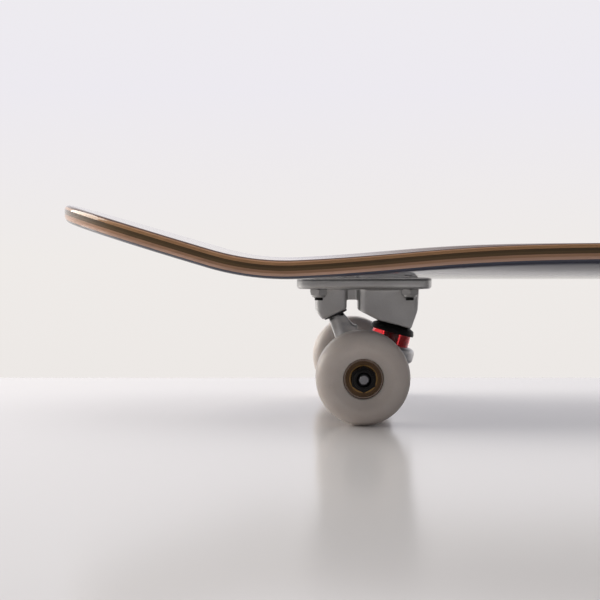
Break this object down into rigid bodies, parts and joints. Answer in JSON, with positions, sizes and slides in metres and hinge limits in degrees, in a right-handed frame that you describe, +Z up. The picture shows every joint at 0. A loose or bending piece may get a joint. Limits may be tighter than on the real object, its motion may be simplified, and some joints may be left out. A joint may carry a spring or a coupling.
{
  "type": "skateboard",
  "caption": "Street skateboard with a concave laminated maple deck, kingpin trucks with steering hangers, urethane bushings and wheels turning on ball bearings.",
  "frame": {"origin": "on the ground under the centre of the board", "axes": "+X along the board from tail to nose, +Y to the left of a rider facing the nose, +Z up"},
  "size_m": [0.777, 0.203, 0.1277],
  "materials": {
    "maple": "clear gloss lacquer",
    "dark_veneer": "dyed, clear gloss lacquer",
    "rose_maple": "clear gloss lacquer",
    "navy_veneer": "painted, gloss lacquer",
    "cast_aluminium": "cast, satin polished",
    "steel": "turned and ground",
    "black_steel": "black oxide, satin",
    "bronze_shield": "bronze, satin",
    "black_plastic": "moulded, satin",
    "red_urethane": "translucent, satin",
    "white_urethane": "cast urethane, satin"
  },
  "bodies": {
    "board": {"deck_ply_1": "maple", "deck_ply_2": "maple", "deck_ply_3": "dark_veneer", "deck_ply_4": "dark_veneer", "deck_ply_5": "rose_maple", "deck_ply_6": "rose_maple", "deck_ply_7": "navy_veneer", "truck_bolts_tail": "black_steel", "truck_bolt_nuts_tail": "black_steel", "baseplate_tail": "cast_aluminium", "pivot_cup_tail": "black_plastic", "kingpin_tail": "steel", "kingpin_nut_tail": "black_steel", "top_washer_tail": "black_steel", "top_bushing_tail": "red_urethane", "bottom_bushing_tail": "red_urethane", "bottom_washer_tail": "black_steel", "truck_bolts_nose": "black_steel", "truck_bolt_nuts_nose": "black_steel", "baseplate_nose": "cast_aluminium", "pivot_cup_nose": "black_plastic", "kingpin_nose": "steel", "kingpin_nut_nose": "black_steel", "top_washer_nose": "black_steel", "top_bushing_nose": "red_urethane", "bottom_bushing_nose": "red_urethane", "bottom_washer_nose": "black_steel"},
    "hanger_set_tail": {"hanger_tail": "cast_aluminium", "axle_tail": "steel", "axle_nuts_tail": "black_steel", "speed_washers_tail": "steel", "bearing_spacers_tail": "steel", "inner_races_tail": "steel"},
    "wheel_set_tail_left": {"wheel_tail_left": "white_urethane", "outer_races_tail_left": "steel", "bearing_shields_tail_left": "bronze_shield"},
    "cage_set_tail_left": {"bearing_balls_tail_left": "steel", "ball_cages_tail_left": "black_plastic"},
    "wheel_set_tail_right": {"wheel_tail_right": "white_urethane", "outer_races_tail_right": "steel", "bearing_shields_tail_right": "bronze_shield"},
    "cage_set_tail_right": {"bearing_balls_tail_right": "steel", "ball_cages_tail_right": "black_plastic"},
    "hanger_set_nose": {"hanger_nose": "cast_aluminium", "axle_nose": "steel", "axle_nuts_nose": "black_steel", "speed_washers_nose": "steel", "bearing_spacers_nose": "steel", "inner_races_nose": "steel"},
    "wheel_set_nose_left": {"wheel_nose_left": "white_urethane", "outer_races_nose_left": "steel", "bearing_shields_nose_left": "bronze_shield"},
    "cage_set_nose_left": {"bearing_balls_nose_left": "steel", "ball_cages_nose_left": "black_plastic"},
    "wheel_set_nose_right": {"wheel_nose_right": "white_urethane", "outer_races_nose_right": "steel", "bearing_shields_nose_right": "bronze_shield"},
    "cage_set_nose_right": {"bearing_balls_nose_right": "steel", "ball_cages_nose_right": "black_plastic"}
  },
  "joints": [
    {"name": "steer_tail", "type": "hinge", "parent": "board", "child": "hanger_set_tail", "pos_m": [-0.228, 0, 0.0626], "axis": [0.775, 0, -0.632], "range_deg": [-14, 14], "stiffness_Nm_per_rad": 40, "deforming": ["top_bushing_tail", "bottom_bushing_tail"]},
    {"name": "spin_tail_left", "type": "hinge", "parent": "hanger_set_tail", "child": "wheel_set_tail_left", "pos_m": [-0.2125, 0.0823, 0.026], "axis": [0, 1, 0], "continuous": true},
    {"name": "cage_tail_left", "type": "hinge", "parent": "hanger_set_tail", "child": "cage_set_tail_left", "pos_m": [-0.2125, 0.0823, 0.026], "axis": [0, 1, 0], "continuous": true},
    {"name": "spin_tail_right", "type": "hinge", "parent": "hanger_set_tail", "child": "wheel_set_tail_right", "pos_m": [-0.2125, -0.0823, 0.026], "axis": [0, 1, 0], "continuous": true},
    {"name": "cage_tail_right", "type": "hinge", "parent": "hanger_set_tail", "child": "cage_set_tail_right", "pos_m": [-0.2125, -0.0823, 0.026], "axis": [0, 1, 0], "continuous": true},
    {"name": "steer_nose", "type": "hinge", "parent": "board", "child": "hanger_set_nose", "pos_m": [0.22, 0, 0.0626], "axis": [-0.775, 0, -0.632], "range_deg": [-14, 14], "stiffness_Nm_per_rad": 40, "deforming": ["top_bushing_nose", "bottom_bushing_nose"]},
    {"name": "spin_nose_left", "type": "hinge", "parent": "hanger_set_nose", "child": "wheel_set_nose_left", "pos_m": [0.2045, 0.0823, 0.026], "axis": [0, 1, 0], "continuous": true},
    {"name": "cage_nose_left", "type": "hinge", "parent": "hanger_set_nose", "child": "cage_set_nose_left", "pos_m": [0.2045, 0.0823, 0.026], "axis": [0, 1, 0], "continuous": true},
    {"name": "spin_nose_right", "type": "hinge", "parent": "hanger_set_nose", "child": "wheel_set_nose_right", "pos_m": [0.2045, -0.0823, 0.026], "axis": [0, 1, 0], "continuous": true},
    {"name": "cage_nose_right", "type": "hinge", "parent": "hanger_set_nose", "child": "cage_set_nose_right", "pos_m": [0.2045, -0.0823, 0.026], "axis": [0, 1, 0], "continuous": true}
  ],
  "couplings": [
    {"joint": "cage_tail_left", "follows": "spin_tail_left", "ratio": 0.63},
    {"joint": "cage_tail_right", "follows": "spin_tail_right", "ratio": 0.63},
    {"joint": "cage_nose_left", "follows": "spin_nose_left", "ratio": 0.63},
    {"joint": "cage_nose_right", "follows": "spin_nose_right", "ratio": 0.63}
  ]
}
